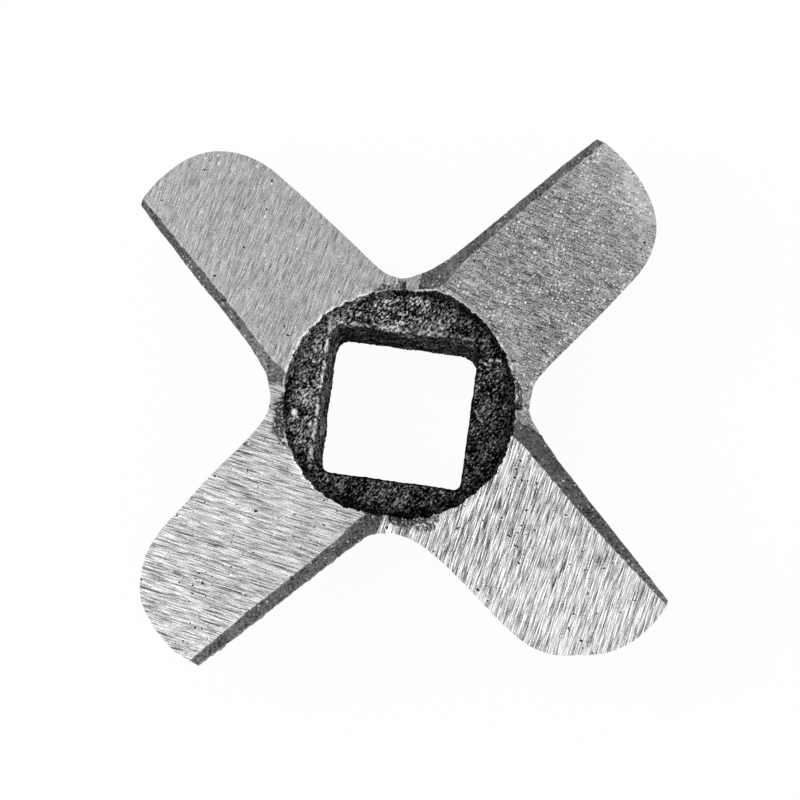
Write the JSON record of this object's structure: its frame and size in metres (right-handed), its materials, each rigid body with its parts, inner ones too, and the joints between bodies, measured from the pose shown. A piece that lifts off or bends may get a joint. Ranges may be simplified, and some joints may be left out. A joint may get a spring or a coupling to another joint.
{
  "type": "meat grinder knife",
  "caption": "Cast cross-shaped meat grinder knife with tapered arms, keen leading edges, a ground plate side and a square drive hole in a recessed hub.",
  "frame": {"origin": "centre of the boss's back face, on the axis of rotation", "axes": "+Z along the axis of rotation, towards the ground plate side; X and Y along the sides of the square drive hole"},
  "size_m": [0.0462, 0.0462, 0.011],
  "materials": {
    "iron": "bare iron, coarsely ground on the plate side, with a dark cast skin in the recess and on the walls and back"
  },
  "bodies": {
    "root": {"knife": "iron"}
  },
  "joints": []
}
